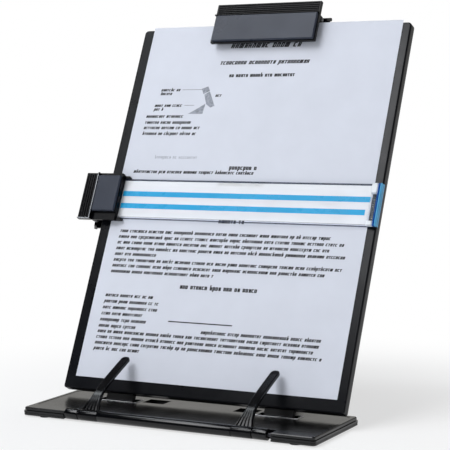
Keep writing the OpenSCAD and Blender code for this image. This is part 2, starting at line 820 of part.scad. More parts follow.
// The front jaw's plate leans out from the grip to the mouth; its inner side is at Y = 0
module on_jaw() {
    translate([0, -jaw_gap_out, clip_out]) rotate([-jaw_lean, 0, 0]) children();
}

module jaw_room(l) {
    on_jaw() translate([-l, -4 * jaw_t, -2 * clip_h]) cube([2 * l, 4 * jaw_t, 3 * clip_h]);
}

module front_jaw(l, grip) {
    ear = l / 2 - knuckle_w - knuckle_inset;
    pitch = (grip - 1.4) / grip_ribs;
    difference() {
        union() {
            on_jaw() {
                translate([-l / 2, -jaw_t, -clip_h]) cube([l, jaw_t, clip_h]);
                for (i = [1:grip_ribs]) translate([1.6 - l / 2, -jaw_t - 0.7, -i * pitch])
                    cube([l - 3.2, 0.8, 0.8]);
                translate([-l / 2, -jaw_t - face_t, -grip - 1]) cube([l, face_t + 0.1, 1]);
            }
            both_sides() hull() {
                knuckle(ear, ear + knuckle_w, knuckle_d, $fn = 32);
                on_jaw() translate([ear, -0.6, clip_pivot_out - clip_out - knuckle_d / 2])
                    cube([knuckle_w, 0.5, knuckle_d]);
            }
        }
        knuckle(-l, l, clip_pin_d + 2 * run_gap);
    }
}

module jaw_face(l, grip, low, high, mouth) {
    on_jaw() translate([0, -jaw_t, 0]) rotate([90, 0, 0])
        soft_slab(low - l / 2, mouth - clip_h, l / 2 - high, -grip - 1 - eps, face_t, 0.8, edge_c);
}

// Rubber lip inside a front jaw, from Z = z0 up, ending at a distance from the board's face
module jaw_lip(l, z0, off) {
    difference() {
        translate([2.5 - l / 2, -2 * jaw_gap_in, z0]) cube([l - 5, 2 * jaw_gap_in - off, lip_w]);
        jaw_room(l);
    }
}

module rear_jaw(l) {
    half = l / 2 + lever_over;
    hub = l / 2 - 2 * knuckle_w - knuckle_inset - side_gap;
    plate_z = knuckle_d / 2 + 0.4;
    difference() {
        union() {
            both_sides() knuckle(hub, hub + knuckle_w, knuckle_d);
            translate([0, pivot_y, clip_pivot_out]) rotate([lever_a, 0, 0]) {
                translate([-half, plate_z, -rear_jaw_t / 2]) cube([2 * half, lever_l - plate_z, rear_jaw_t]);
                both_sides() translate([hub + 0.3, 0, 0.1 - rear_jaw_t / 2])
                    cube([knuckle_w - 0.6, knuckle_d, rear_jaw_t - 0.2]);
                translate([0, lever_l, 0]) bar_x(-half, half, lever_bead);
            }
            translate([0, rear_y, 0]) stand_up() linear_extrude(rear_jaw_t)
                round_rect(-half, -rear_jaw_h, half, rear_top, 1.5);
        }
        knuckle(-l, l, clip_pin_d + 2 * seat_gap);
    }
}

module rear_pad(l) {
    translate([pad_in - l / 2, board_t, -rear_jaw_h]) cube([l - 2 * pad_in, rear_gap, pad_h]);
}

module jaw_pin(l) {
    knuckle(0.8 - l / 2, l / 2 - 0.8, clip_pin_d);
}

// Torsion spring as a tube, with the leg that bears on the rear lever
module jaw_spring() {
    translate([0, pivot_y, clip_pivot_out]) {
        tube_x(-spring_w / 2, spring_w / 2, knuckle_d, knuckle_d - 2 * spring_wire);
        rotate([lever_a, 0, 0]) translate([spring_w / 2 - spring_wire, knuckle_d / 2 - spring_wire / 2,
                                           rear_jaw_t / 2])
            cube([spring_wire, lever_l / 2 - 1, spring_wire]);
    }
}

module clip_rear_jaw() {
    color([0.1, 0.1, 0.1]) at_top() rear_jaw(clip_l);
}

module clip_pin() {
    color("silver") at_top() jaw_pin(clip_l);
}

module clip_spring() {
    color("silver") at_top() jaw_spring();
}

module clip_pad() {
    color([0.06, 0.06, 0.06]) at_top() rear_pad(clip_l);
}

module clip_front_jaw() {
    color([0.2, 0.2, 0.21]) at_top() front_jaw(clip_l, grip_w);
}

module clip_face() {
    color([0.3, 0.3, 0.32]) at_top() jaw_face(clip_l, grip_w, 1.4, 0.8, 0.8);
}

module clip_lip() {
    color([0.06, 0.06, 0.06]) at_top() jaw_lip(clip_l, mouth_z + 2.8, sheet_t + grip_gap);
}

module guide_rear_jaw() {
    color([0.1, 0.1, 0.1]) at_left() rear_jaw(guide_l);
}

module guide_pin() {
    color("silver") at_left() jaw_pin(guide_l);
}

module guide_spring() {
    color("silver") at_left() jaw_spring();
}

module guide_pad() {
    color([0.06, 0.06, 0.06]) at_left() rear_pad(guide_l);
}

// The guide's front jaw is thinner along its lower end, and bored for the ruler's rivets
module guide_front_jaw() {
    color([0.2, 0.2, 0.21]) at_left() difference() {
        front_jaw(guide_l, guide_grip_w);
        on_jaw() translate([-guide_l / 2 - 1, -2 * jaw_t, -clip_h - 1])
            cube([guide_step + 1, 1.4 * jaw_t, clip_h - guide_grip_w]);
        rivet_places() cylinder(h = 6 * jaw_t, d = rivet_d + 2 * seat_gap);
    }
}

module guide_face() {
    color([0.3, 0.3, 0.32]) at_left() jaw_face(guide_l, guide_grip_w, guide_step, 2.6, 0.8);
}

module guide_lip() {
    color([0.06, 0.06, 0.06]) at_left()
        jaw_lip(guide_l, -(ruler_in - guide_edge) + 1, grip_gap);
}

// Ruler and its holder, in the board's frame

rivet_d = 2.4;
rivet_inset = 4.5;

// The rivets run forward from the ruler's back into the jaw
module rivet_places() {
    for (s = [-1, 1]) translate([s * ruler_h / 4, -ruler_off, ruler_held / 2 + mouth_z])
        rotate([90, 0, 0]) children();
}

module ruler_rivets() {
    color("silver") at_left() rivet_places() {
        cylinder(h = rivet_h(), d = rivet_d);
        translate([0, 0, -0.4]) cylinder(h = 0.4, d = rivet_d + 1.6);
    }
}

// Length of a rivet, ending inside the jaw's plate
function rivet_h() = jaw_gap_out + (clip_h - ruler_held / 2) * sin(jaw_lean) - ruler_off + 0.8;

module ruler_holder() {
    color([0.12, 0.12, 0.13]) at_left() difference() {
        union() {
            translate([-guide_l / 2 + 0.5, -2 * jaw_gap_in, mouth_z])
                cube([guide_l - 1, 2 * jaw_gap_in - ruler_face, ruler_held]);
            for (s = [-1, 1]) translate([s * (ruler_h / 2 + 0.9) - 0.85, -ruler_face - 2, mouth_z - holder_tab])
                cube([1.7, ruler_t + 2, holder_tab + ruler_held]);
        }
        jaw_room(guide_l);
        rivet_places() cylinder(h = 6 * jaw_t, d = rivet_d + 2 * seat_gap);
    }
}

module ruler() {
    color([0.75, 0.85, 0.9, 0.5]) on_board() difference() {
        translate([ruler_in, -ruler_face, ruler_top - ruler_h])
            cube([ruler_out - ruler_in, ruler_t, ruler_h]);
        ruler_rivet_bores();
    }
}

module ruler_rivet_bores() {
    translate([guide_edge, 0, guide_v]) rotate([0, -90, 0]) rivet_places()
        translate([0, 0, -1]) cylinder(h = 6 * jaw_t, d = rivet_d + 2 * seat_gap);
}

module ruler_stripes() {
    color([0.18, 0.66, 0.88]) on_board() for (i = [0, 1])
        translate([mouth_x + 0.5, -ruler_face - stripe_t, ruler_top - stripe_top - i * stripe_pitch - stripe_w / 2])
            cube([stripe_end - mouth_x - 0.5 - i * stripe_short, stripe_t, stripe_w]);
}

module ruler_end_lug() {
    color([0.7, 0.82, 0.9, 0.6]) on_board()
        translate([stripe_end, -ruler_face - end_lug_t, ruler_top - ruler_h]) cube([end_lug_l, end_lug_t, ruler_h]);
}

tray_shell();
tray_panel();
tray_cover();
tray_feet();
tray_screws();
rail_collars();
finger_pins();
hinge_pins();
finger_washers();
finger_left();
finger_right();
board_front();
board_back();
board_screws();
hinge_lugs();
sheet();
leg_bracket();
bracket_screws();
leg_pin();
leg_spring();
leg_frame();
leg_foot_strip();
clip_rear_jaw();
clip_pin();
clip_spring();
clip_pad();
clip_front_jaw();
clip_face();
clip_lip();
guide_rear_jaw();
guide_pin();
guide_spring();
guide_pad();
guide_front_jaw();
guide_face();
guide_lip();
ruler_holder();
ruler();
ruler_stripes();
ruler_end_lug();
ruler_rivets();
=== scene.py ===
import math
import random
import bmesh
import bpy
from mathutils import Matrix, Vector


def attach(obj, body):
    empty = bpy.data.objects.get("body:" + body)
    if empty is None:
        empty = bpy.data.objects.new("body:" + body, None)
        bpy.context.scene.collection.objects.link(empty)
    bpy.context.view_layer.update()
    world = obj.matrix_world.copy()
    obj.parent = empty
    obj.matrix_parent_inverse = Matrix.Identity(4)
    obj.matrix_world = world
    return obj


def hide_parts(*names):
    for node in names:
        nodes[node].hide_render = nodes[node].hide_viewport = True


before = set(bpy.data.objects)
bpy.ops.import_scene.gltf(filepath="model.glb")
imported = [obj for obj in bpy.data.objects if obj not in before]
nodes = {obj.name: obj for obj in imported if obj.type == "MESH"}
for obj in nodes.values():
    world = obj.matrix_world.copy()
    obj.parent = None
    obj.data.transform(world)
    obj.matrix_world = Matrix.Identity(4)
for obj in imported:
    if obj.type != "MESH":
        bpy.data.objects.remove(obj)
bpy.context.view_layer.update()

MM = 0.001

# Sizes shared with the solids, in millimetres
TILT = math.radians(25.4)
HINGE_Z = 4.3
HINGE_DROP = 7.8
BOARD_W = 240.0
BOARD_H = 312.0
BOARD_T = 8.0
FRONT_T = 4.6
RAIL_Y = -48.7
RAIL_Z = 4.8
RAIL_R = 4.2
GROOVE_W = 1.5
PANEL_IN = 1.6
FINGER_X = 64.0
FINGER_REACH = 64.5
FINGER_BEND = 23.0
BEND_A = math.radians(45)
TIP_A = math.radians(32.5)
SLEEVE_L = 16.4
CLIP_X = -3.2
GUIDE_X = -121.5
GUIDE_V = 158.4
CLIP_H = 35.0
JAW_FOOT = 4.4
JAW_LEAN = math.atan2(5.0 - JAW_FOOT, CLIP_H)
CLIP_OUT = 17.5
PIVOT_Y = 2.0
PIVOT_Z = 5.4
BRACKET_V = 170.0
DECK_Z = 6.8
POCKET_IN = 51.5
POCKET_OUT = 84.5
POCKET_FRONT = -3.8
POCKET_BACK = 6.4
SCREW_R = 2.5

BOARD = (Matrix.Translation((0, 0, HINGE_Z)) @ Matrix.Rotation(-TILT, 4, "X")
         @ Matrix.Translation((0, -BOARD_T / 2, HINGE_DROP)))
TOP = BOARD @ Matrix.Translation((CLIP_X, 0, BOARD_H))
LEFT = BOARD @ Matrix.Translation((GUIDE_X, 0, GUIDE_V)) @ Matrix.Rotation(-math.pi / 2, 4, "Y")
JAW = Matrix.Translation((0, -JAW_FOOT, CLIP_OUT)) @ Matrix.Rotation(-JAW_LEAN, 4, "X")
WORLD = Matrix.Identity(4)


def metres(m):
    """A placing in millimetres as one in metres."""
    out = m.copy()
    out.translation = m.translation * MM
    return out


# Materials

def new_material(name):
    mat = bpy.data.materials.new(name)
    mat.use_nodes = True
    tree = mat.node_tree
    return mat, tree, tree.nodes["Principled BSDF"]


def add(tree, kind, **values):
    node = tree.nodes.new(kind)
    for key, value in values.items():
        if key in node.inputs:
            node.inputs[key].default_value = value
        else:
            setattr(node, key, value)
    return node


def noise(tree, scale, detail=2.0, stretch=None):
    """Noise in the piece's own coordinates; scale is in features per metre."""
    coord = add(tree, "ShaderNodeTexCoord")
    out = add(tree, "ShaderNodeTexNoise", Scale=scale, Detail=detail, Roughness=0.55)
    if stretch:
        mapping = add(tree, "ShaderNodeMapping")
        mapping.inputs["Scale"].default_value = stretch
        tree.links.new(coord.outputs["Object"], mapping.inputs["Vector"])
        tree.links.new(mapping.outputs["Vector"], out.inputs["Vector"])
    else:
        tree.links.new(coord.outputs["Object"], out.inputs["Vector"])
    return out.outputs["Fac"]


def remap(tree, value, low, high):
    node = add(tree, "ShaderNodeMapRange")
    node.inputs["From Min"].default_value = 0.3
    node.inputs["From Max"].default_value = 0.7
    node.inputs["To Min"].default_value = low
    node.inputs["To Max"].default_value = high
    tree.links.new(value, node.inputs["Value"])
    return node.outputs["Result"]


def tint(tree, bsdf, color, spread, scale, stretch=None):
    """Base colour that drifts by a small share of itself."""
    mix = add(tree, "ShaderNodeMix", data_type="RGBA")
    mix.inputs["A"].default_value = (*[c * (1 - spread) for c in color], 1)
    mix.inputs["B"].default_value = (*[min(1, c * (1 + spread)) for c in color], 1)
    tree.links.new(remap(tree, noise(tree, scale, 3, stretch), 0, 1), mix.inputs["Factor"])
    tree.links.new(mix.outputs["Result"], bsdf.inputs["Base Color"])


def grain(tree, bsdf, scale, strength, depth, stretch=None):
    bump = add(tree, "ShaderNodeBump", Strength=strength, Distance=depth * MM)
    tree.links.new(noise(tree, scale, 2, stretch), bump.inputs["Height"])
    tree.links.new(bump.outputs["Normal"], bsdf.inputs["Normal"])


def plastic(name, color, rough, rough_spread=0.06, scale=1500, strength=0.25, depth=0.03, spec=0.5):
    mat, tree, bsdf = new_material(name)
    tint(tree, bsdf, color, 0.12, 25)
    patches = remap(tree, noise(tree, 40, 4), rough - rough_spread, rough + rough_spread)
    tree.links.new(patches, bsdf.inputs["Roughness"])
    grain(tree, bsdf, scale, strength, depth)
    bsdf.inputs["Specular IOR Level"].default_value = spec
    return mat


def metal(name, color, rough, stretch=(1, 8, 8)):
    mat, tree, bsdf = new_material(name)
    tint(tree, bsdf, color, 0.08, 60)
    bsdf.inputs["Metallic"].default_value = 1.0
    tree.links.new(remap(tree, noise(tree, 300, 3, stretch), rough - 0.06, rough + 0.1),
                   bsdf.inputs["Roughness"])
    grain(tree, bsdf, 900, 0.15, 0.01, stretch)
    return mat


def paper(name):
    mat, tree, bsdf = new_material(name)
    tint(tree, bsdf, (0.665, 0.69, 0.765), 0.025, 30)
    bsdf.inputs["Roughness"].default_value = 0.75
    bsdf.inputs["Specular IOR Level"].default_value = 0.25
    grain(tree, bsdf, 1400, 0.18, 0.03)
    return mat


def ink(name, color):
    mat, tree, bsdf = new_material(name)
    tint(tree, bsdf, color, 0.35, 500)
    bsdf.inputs["Roughness"].default_value = 0.6
    return mat


def clear(name, color, alpha, rough, shade=None):
    """A film that hides a share alpha of what lies behind it; shade is the share of light that it stops."""
    mat, tree, bsdf = new_material(name)
    tint(tree, bsdf, color, 0.04, 20)
    bsdf.inputs["Alpha"].default_value = alpha
    if shade is not None:
        path = add(tree, "ShaderNodeLightPath")
        share = add(tree, "ShaderNodeMapRange")
        share.inputs["To Min"].default_value = alpha
        share.inputs["To Max"].default_value = shade
        tree.links.new(path.outputs["Is Shadow Ray"], share.inputs["Value"])
        tree.links.new(share.outputs["Result"], bsdf.inputs["Alpha"])
    tree.links.new(remap(tree, noise(tree, 90, 3), rough * 0.7, rough * 1.3), bsdf.inputs["Roughness"])
    bsdf.inputs["Specular IOR Level"].default_value = 0.16
    grain(tree, bsdf, 120, 0.05, 0.02)
    mat.surface_render_method = "BLENDED"
    return mat


BLACK = plastic("shell_black", (0.005, 0.0055, 0.0075), 0.31, scale=1300, strength=0.3, spec=0.2)
BLACK_BACK = plastic("back_black", (0.012, 0.012, 0.013), 0.42, scale=1100, strength=0.6, spec=0.45)
DECK = plastic("deck_gloss", (0.002, 0.002, 0.002), 0.18, 0.04, 700, 0.06, 0.02, spec=0.3)
RAIL = plastic("rail_black", (0.001, 0.0012, 0.0022), 0.2, 0.03, 1300, 0.06, 0.02, spec=0.4)
FINGER = plastic("finger_black", (0.002, 0.002, 0.003), 0.19, 0.04, 1300, 0.08, 0.02, spec=0.25)
LUG_BLACK = plastic("lug_black", (0.003, 0.003, 0.0035), 0.4, scale=1300, strength=0.2, spec=0.12)
# Light grey, glossy plastic for the line guide's bead: a painted highlight along that edge
BEAD_PAINTED_HIGHLIGHT = plastic("bead_painted_highlight", (0.20, 0.21, 0.23), 0.2, 0.04, 1300, 0.1, spec=0.8)
CLIP_DARK = plastic("clip_dark", (0.002, 0.002, 0.003), 0.3, scale=1300, strength=0.3, spec=0.12)
CLIP_GREY = plastic("clip_grey", (0.038, 0.045, 0.064), 0.3, 0.05, 1300, 0.2, spec=0.15)
RUBBER = plastic("rubber", (0.012, 0.012, 0.012), 0.82, 0.05, 900, 0.6, 0.05, spec=0.2)
STEEL = metal("steel", (0.58, 0.58, 0.60), 0.3)
DARK_STEEL = metal("dark_steel", (0.045, 0.045, 0.05), 0.35)
PAPER = paper("paper")
INK = ink("ink", (0.006, 0.006, 0.010))
INK_PALE = ink("ink_pale", (0.27, 0.29, 0.34))
CLEAR = clear("clear", (0.94, 0.955, 0.97), 0.55, 0.1, 0.04)
CLEAR_BACK = clear("clear_back", (0.97, 0.99, 1.0), 0.03, 0.1, 0.02)
CLEAR_EDGE = clear("clear_edge", (0.03, 0.05, 0.10), 0.85, 0.12, 0.15)
CLEAR_LUG = clear("clear_lug", (0.3, 0.42, 0.6), 0.03, 0.05, 0.02)
# Whitish film for the top and bottom ends of the ruler's end lug: a painted highlight
LUG_END_PAINTED_HIGHLIGHT = clear("lug_end_painted_highlight", (0.90, 0.94, 1.0), 0.75, 0.15)
BLUE = clear("stripe_blue", (0.010, 0.35, 0.66), 0.96, 0.3, 0.15)
BLUE_EDGE = clear("edge_blue", (0.12, 0.46, 0.78), 0.9, 0.15)
BLUE_DEEP = clear("edge_deep", (0.008, 0.10, 0.40), 0.9, 0.15)


# Mesh tools: all shapes are drawn in millimetres in their own frame

def build(name, verts, faces, place, body, mats, replaces=(), smooth=True, indices=None):
    mesh = bpy.data.meshes.new(name)
    mesh.from_pydata([Vector(v) * MM for v in verts], [], faces)
    for mat in mats if isinstance(mats, (list, tuple)) else [mats]:
        mesh.materials.append(mat)
    if indices:
        mesh.polygons.foreach_set("material_index", indices)
    bm = bmesh.new()
    bm.from_mesh(mesh)
    bmesh.ops.recalc_face_normals(bm, faces=bm.faces)
    bm.to_mesh(mesh)
    bm.free()
    if smooth:
        mesh.shade_smooth()
        mesh.set_sharp_from_angle(angle=math.radians(32))
    obj = bpy.data.objects.new(name, mesh)
    bpy.context.scene.collection.objects.link(obj)
    obj.matrix_world = metres(place)
    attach(obj, body)
    if replaces:
        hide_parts(*replaces)
    return obj


def round_edges(obj, width, segments=3, angle=35):
    bevel = obj.modifiers.new("round", "BEVEL")
    bevel.width = width * MM
    bevel.segments = segments
    bevel.limit_method = "ANGLE"
    bevel.angle_limit = math.radians(angle)
    bevel.use_clamp_overlap = True
    bevel.harden_normals = True
    return obj


class Shape:
    """Collects vertices and faces of several solids into one mesh."""

    def __init__(self):
        self.verts = []
        self.faces = []
        self.index = []

    def add(self, verts, faces, mat=0, place=None):
        base = len(self.verts)
        self.verts += [place @ Vector(v) if place else Vector(v) for v in verts]
        self.faces += [tuple(base + i for i in f) for f in faces]
        self.index += [mat] * len(faces)

    def loops(self, rings, mat=0, place=None, caps=True):
        """Skin over rings of equal length; each ring closes on itself."""
        n = len(rings[0])
        verts = [p for ring in rings for p in ring]
        faces = []
        for k in range(len(rings) - 1):
            for i in range(n):
                j = (i + 1) % n
                faces.append((k * n + i, k * n + j, (k + 1) * n + j, (k + 1) * n + i))
        if caps:
            faces.append(tuple(reversed(range(n))))
            faces.append(tuple(range((len(rings) - 1) * n, len(rings) * n)))
        self.add(verts, faces, mat, place)

    def box(self, lo, hi, mat=0, place=None):
        (x0, y0, z0), (x1, y1, z1) = lo, hi
        verts = [(x, y, z) for z in (z0, z1) for x, y in ((x0, y0), (x1, y0), (x1, y1), (x0, y1))]
        faces = [(3, 2, 1, 0), (4, 5, 6, 7), (0, 1, 5, 4), (1, 2, 6, 5), (2, 3, 7, 6), (3, 0, 4, 7)]
        self.add(verts, faces, mat, place)

    def make(self, name, place, body, mats, replaces=(), smooth=True):
        return build(name, self.verts, self.faces, place, body, mats, replaces, smooth, self.index)


def round_loop(x0, z0, x1, z1, r, low=None, steps=8):
    """Outline of a rectangle with round corners in X and Z; low is the radius of the lower ones."""
    r = max(r, 0.05)
    low = r if low is None else max(low, 0.05)
    out = []
    for cx, cz, q, start in ((x1 - r, z1 - r, r, 0), (x0 + r, z1 - r, r, 90),
                             (x0 + low, z0 + low, low, 180), (x1 - low, z0 + low, low, 270)):
        for i in range(steps + 1):
            a = math.radians(start + 90 * i / steps)
            out.append((cx + q * math.cos(a), cz + q * math.sin(a)))
    return out


def slab_rings(x0, z0, x1, z1, r, profile, low=None):
    """Rings of a slab that lies in X and Z; profile holds (inset, y)."""
    low = r if low is None else low
    return [[(x, y, z) for x, z in round_loop(x0 + d, z0 + d, x1 - d, z1 - d, r - d, low - d)]
            for d, y in profile]


def quarter(y, sign, radius, steps=5):
    """Profile points of a rounded edge that starts on the face at y and turns towards sign."""
    out = []
    for i in range(steps + 1):
        a = math.pi / 2 * i / steps
        out.append((radius * (1 - math.sin(a)), y + sign * radius * (1 - math.cos(a))))
    return out


def dress(name, mat, bevel=0.25, segments=2):
    """Gives a CAD node that stays its finish and soft edges."""
    obj = nodes[name]
    for s in obj.material_slots:
        s.link = "OBJECT"
        s.material = mat
    weld = obj.modifiers.new("weld", "WELD")
    weld.merge_threshold = 2e-6
    round_edges(obj, bevel, segments, 28)


# Packed solids that stay, with their finish and soft edges
FINISH = {
    "tray_shell": (RAIL, 0.22, 3), "tray_panel": (DECK, 0.2), "tray_cover": (BLACK_BACK, 0.25),
    "tray_feet": (RUBBER, 0.3), "rail_collars": (RAIL, 0.4, 3), "finger_pins": (DARK_STEEL, 0.2),
    "hinge_pins": (STEEL, 0.15), "finger_washers": (DARK_STEEL, 0.1), "hinge_lugs": (LUG_BLACK, 0.5, 3),
    "board_back": (BLACK_BACK, 0.25), "leg_bracket": (BLACK, 0.4, 3), "leg_pin": (STEEL, 0.3),
    "leg_spring": (STEEL, 0.1), "leg_frame": (BLACK_BACK, 0.6, 4), "leg_foot_strip": (RUBBER, 0.2),
    "clip_pin": (STEEL, 0.2), "guide_pin": (STEEL, 0.2), "clip_rear_jaw": (CLIP_DARK, 0.4, 3),
    "guide_rear_jaw": (CLIP_DARK, 0.4, 3), "clip_front_jaw": (CLIP_DARK, 0.3, 3),
    "guide_front_jaw": (CLIP_DARK, 0.3, 3), "clip_face": (CLIP_GREY, 0.25),
    "guide_face": (CLIP_GREY, 0.25), "ruler_holder": (CLIP_DARK, 0.3), "ruler_rivets": (STEEL, 0.2),
    "clip_pad": (RUBBER, 0.3), "clip_lip": (RUBBER, 0.3), "guide_pad": (RUBBER, 0.3),
    "guide_lip": (RUBBER, 0.3),
}
for name, finish in FINISH.items():
    dress(name, *finish)


# Bright edges of the two cut-outs that the board's lugs pass through

def pocket_rims():
    width = 0.7
    low, high, lap = DECK_Z - 0.3, DECK_Z + 0.5, 0.01
    y0, y1 = POCKET_FRONT, POCKET_BACK
    shape = Shape()
    for x0, x1 in ((POCKET_IN, POCKET_OUT), (-POCKET_OUT, -POCKET_IN)):
        shape.box((x0 - width, y0 - width, low), (x1 + width, y0, high))
        shape.box((x0 - width, y1, low), (x1 + width, y1 + width, high))
        shape.box((x0 - width, y0 - lap, low), (x0, y1 + lap, high))
        shape.box((x1, y0 - lap, low), (x1 + width, y1 + lap, high))
    round_edges(shape.make("pocket_rims", WORLD, "tray", STEEL), 0.18, 2)


pocket_rims()


# Screws with a domed head and a cross recess

def screw_head(shape, radius, height, place):
    """Head standing on the XY plane of place, with its top towards +Z."""
    rings, sectors = 9, 48
    faces = []
    cross = 0.42 * radius / SCREW_R

    def top(x, y):
        r = math.hypot(x, y)
        dome = height * (1 - 0.35 * (r / radius) ** 4)
        arm = min(max(abs(x), abs(y)) / (0.62 * radius), 1.0)
        in_cross = min(abs(x), abs(y)) < cross and arm < 1
        return dome - (0.6 * height * (1 - 0.5 * arm) if in_cross else 0)

    verts = [(0, 0, top(0, 0))]
    for k in range(1, rings + 1):
        r = radius * k / rings
        for i in range(sectors):
            a = 2 * math.pi * i / sectors
            x, y = r * math.cos(a), r * math.sin(a)
            verts.append((x, y, top(x, y)))
    for i in range(sectors):
        a = 2 * math.pi * i / sectors
        verts.append((radius * math.cos(a), radius * math.sin(a), 0))
    for i in range(sectors):
        j = (i + 1) % sectors
        faces.append((0, 1 + i, 1 + j))
        for k in range(rings):
            a, b = 1 + k * sectors, 1 + (k + 1) * sectors
            faces.append((a + i, b + i, b + j, a + j))
    faces.append(tuple(1 + rings * sectors + i for i in reversed(range(sectors))))
    shape.add(verts, faces, 0, place)


def screws(name, places, height, place, body, replaced):
    shape = Shape()
    for p in places:
        screw_head(shape, SCREW_R, height, p)
    shape.make(name, place, body, STEEL, [replaced])


BACKWARD = Matrix.Rotation(-math.pi / 2, 4, "X")
DOWNWARD = Matrix.Rotation(math.pi, 4, "X")
panel_front = RAIL_Y + RAIL_R + GROOVE_W + PANEL_IN
tray_screws = [(x, y) for x in (-113, -20, 20, 113) for y in (panel_front + 6, 16.6)]
board_screws = [(x, z) for x in (-111, 0, 111) for z in (24, 116, 288)] + [(-68, 9), (68, 9)]
bracket_screws = [(x, BRACKET_V + dz) for x in (-33.45, 33.45) for dz in (-11, 11)]
screws("tray_screw_heads", [Matrix.Translation((x, y, 1.95)) @ DOWNWARD for x, y in tray_screws],
       0.95, WORLD, "tray", "tray_screws")
screws("board_screw_heads", [Matrix.Translation((x, 7.0, z)) @ BACKWARD for x, z in board_screws],
       0.95, BOARD, "board", "board_screws")
screws("bracket_screw_heads", [Matrix.Translation((x, 10.2, z)) @ BACKWARD for x, z in bracket_screws],
       1.0, BOARD, "board", "bracket_screws")


# Board: the front shell meets the back one in a fine seam
shell = Shape()
front_profile = quarter(0, 1, 1.3) + [(0, FRONT_T - 0.3), (0.35, FRONT_T - 0.05)]
shell.loops(slab_rings(-BOARD_W / 2, 0, BOARD_W / 2, BOARD_H, 3.2, front_profile, 1.9))
shell.make("board_front_shell", BOARD, "board", BLACK, ["board_front"])


# Page with strokes that stand for print and say nothing
SHEET_X0, SHEET_X1, SHEET_Z0, SHEET_Z1 = -110.6, 113.0, 9.8, 313.8
SHEET_T = 0.16


def page_y(x, z):
    """How far the page stands off the board's face: a little loose all over, and a little more towards its
    side edges.
    """
    u = (x - SHEET_X0) / (SHEET_X1 - SHEET_X0)
    v = (z - SHEET_Z0) / (SHEET_Z1 - SHEET_Z0)
    loose = 0.10 * math.sin(3.1 * u * math.pi + 0.6) * math.sin(2.3 * v * math.pi) + 0.10 * (2 * u - 1) ** 4
    return -(0.22 + max(loose, -0.05))


def make_page():
    cols, rows = 48, 64
    verts, faces, back_side = [], [], (cols + 1) * (rows + 1)
    for depth in (0.0, SHEET_T):
        for j in range(rows + 1):
            for i in range(cols + 1):
                x = SHEET_X0 + (SHEET_X1 - SHEET_X0) * i / cols
                z = SHEET_Z0 + (SHEET_Z1 - SHEET_Z0) * j / rows
                verts.append((x, page_y(x, z) + depth, z))
    w = cols + 1
    for j in range(rows):
        for i in range(cols):
            a = j * w + i
            faces.append((a, a + 1, a + 1 + w, a + w))
            faces.append(tuple(back_side + k for k in (a + w, a + 1 + w, a + 1, a)))
    rim = (list(range(w)) + [j * w + cols for j in range(1, rows + 1)]
           + [rows * w + i for i in reversed(range(cols))] + [j * w for j in reversed(range(1, rows))])
    for a, b in zip(rim, rim[1:] + rim[:1]):
        faces.append((b, a, back_side + a, back_side + b))
    build("page", verts, faces, BOARD, "board", PAPER, ["sheet"])


# Strokes of the marks, in units of the line's height: (x0, z0, x1, z1); one mark is wide
MARKS = [
    [(0, 0, 0.22, 1), (0.22, 0, 0.6, 0.16), (0.5, 0.1, 0.66, 0.9), (0.2, 0.84, 0.6, 1)],
    [(0, 0, 0.2, 1), (0.2, 0.8, 0.55, 1), (0.46, 0, 0.66, 0.9)],
    [(0.1, 0, 0.3, 1), (0.3, 0.42, 0.6, 0.56), (0.5, 0, 0.68, 1)],
    [(0, 0.06, 0.2, 0.94), (0.14, 0, 0.6, 0.16), (0.14, 0.84, 0.6, 1)],
    [(0.22, 0, 0.42, 1), (0, 0.84, 0.62, 1)],
    [(0, 0, 0.18, 1), (0.36, 0, 0.54, 1), (0.72, 0, 0.9, 1), (0.1, 0, 0.8, 0.14)],
    [(0, 0, 0.2, 1), (0.2, 0.44, 0.6, 0.58), (0.44, 0.5, 0.62, 1), (0.46, 0, 0.64, 0.44)],
    [(0.08, 0, 0.28, 1.5), (0.28, 0, 0.6, 0.16), (0.46, 0.1, 0.64, 0.9)],
    [(0, -0.45, 0.2, 1), (0.2, 0.84, 0.6, 1), (0.46, 0.1, 0.64, 0.9), (0.2, 0, 0.6, 0.16)],
]
MARK_SHARES = (5, 5, 4, 4, 3, 2, 3, 1, 1)
WIDE_MARK = 5
WORD_LENGTHS = (2, 3, 4, 5, 6, 7, 8, 9, 11)
INK_LIFT = 0.03
FIGURE_LIFT = 0.04


def print_line(shape, rng, x0, x1, z, height, bold=0.0, pale=False, slant=0.0):
    """Words of random marks from x0 to x1; z is the line's foot, and slant leans the marks."""
    x = x0
    while x < x1 - height:
        for _ in range(rng.choice(WORD_LENGTHS)):
            mark = MARKS[rng.choices(range(len(MARKS)), MARK_SHARES)[0]]
            width = (0.95 if mark is MARKS[WIDE_MARK] else 0.72) * height
            if x + width > x1:
                return
            for a, b, c, d in mark:
                p, q = x + a * height - bold / 2, x + c * height + bold / 2
                low, high = z + b * height - bold / 4, z + d * height + bold / 4
                y = page_y((p + q) / 2, z) - INK_LIFT
                foot, head = slant * (low - z), slant * (high - z)
                shape.add([(p + foot, y, low), (q + foot, y, low), (q + head, y, high), (p + head, y, high)],
                          [(0, 1, 2, 3)], 1 if pale else 0)
            x += width + 0.24 * height
        x += 0.78 * height


def figure(shape, outline, mat):
    """Flat shape on the page; outline holds (x, z)."""
    y = page_y(outline[0][0], outline[0][1]) - FIGURE_LIFT
    shape.add([(x, y, z) for x, z in outline], [tuple(range(len(outline)))], mat)


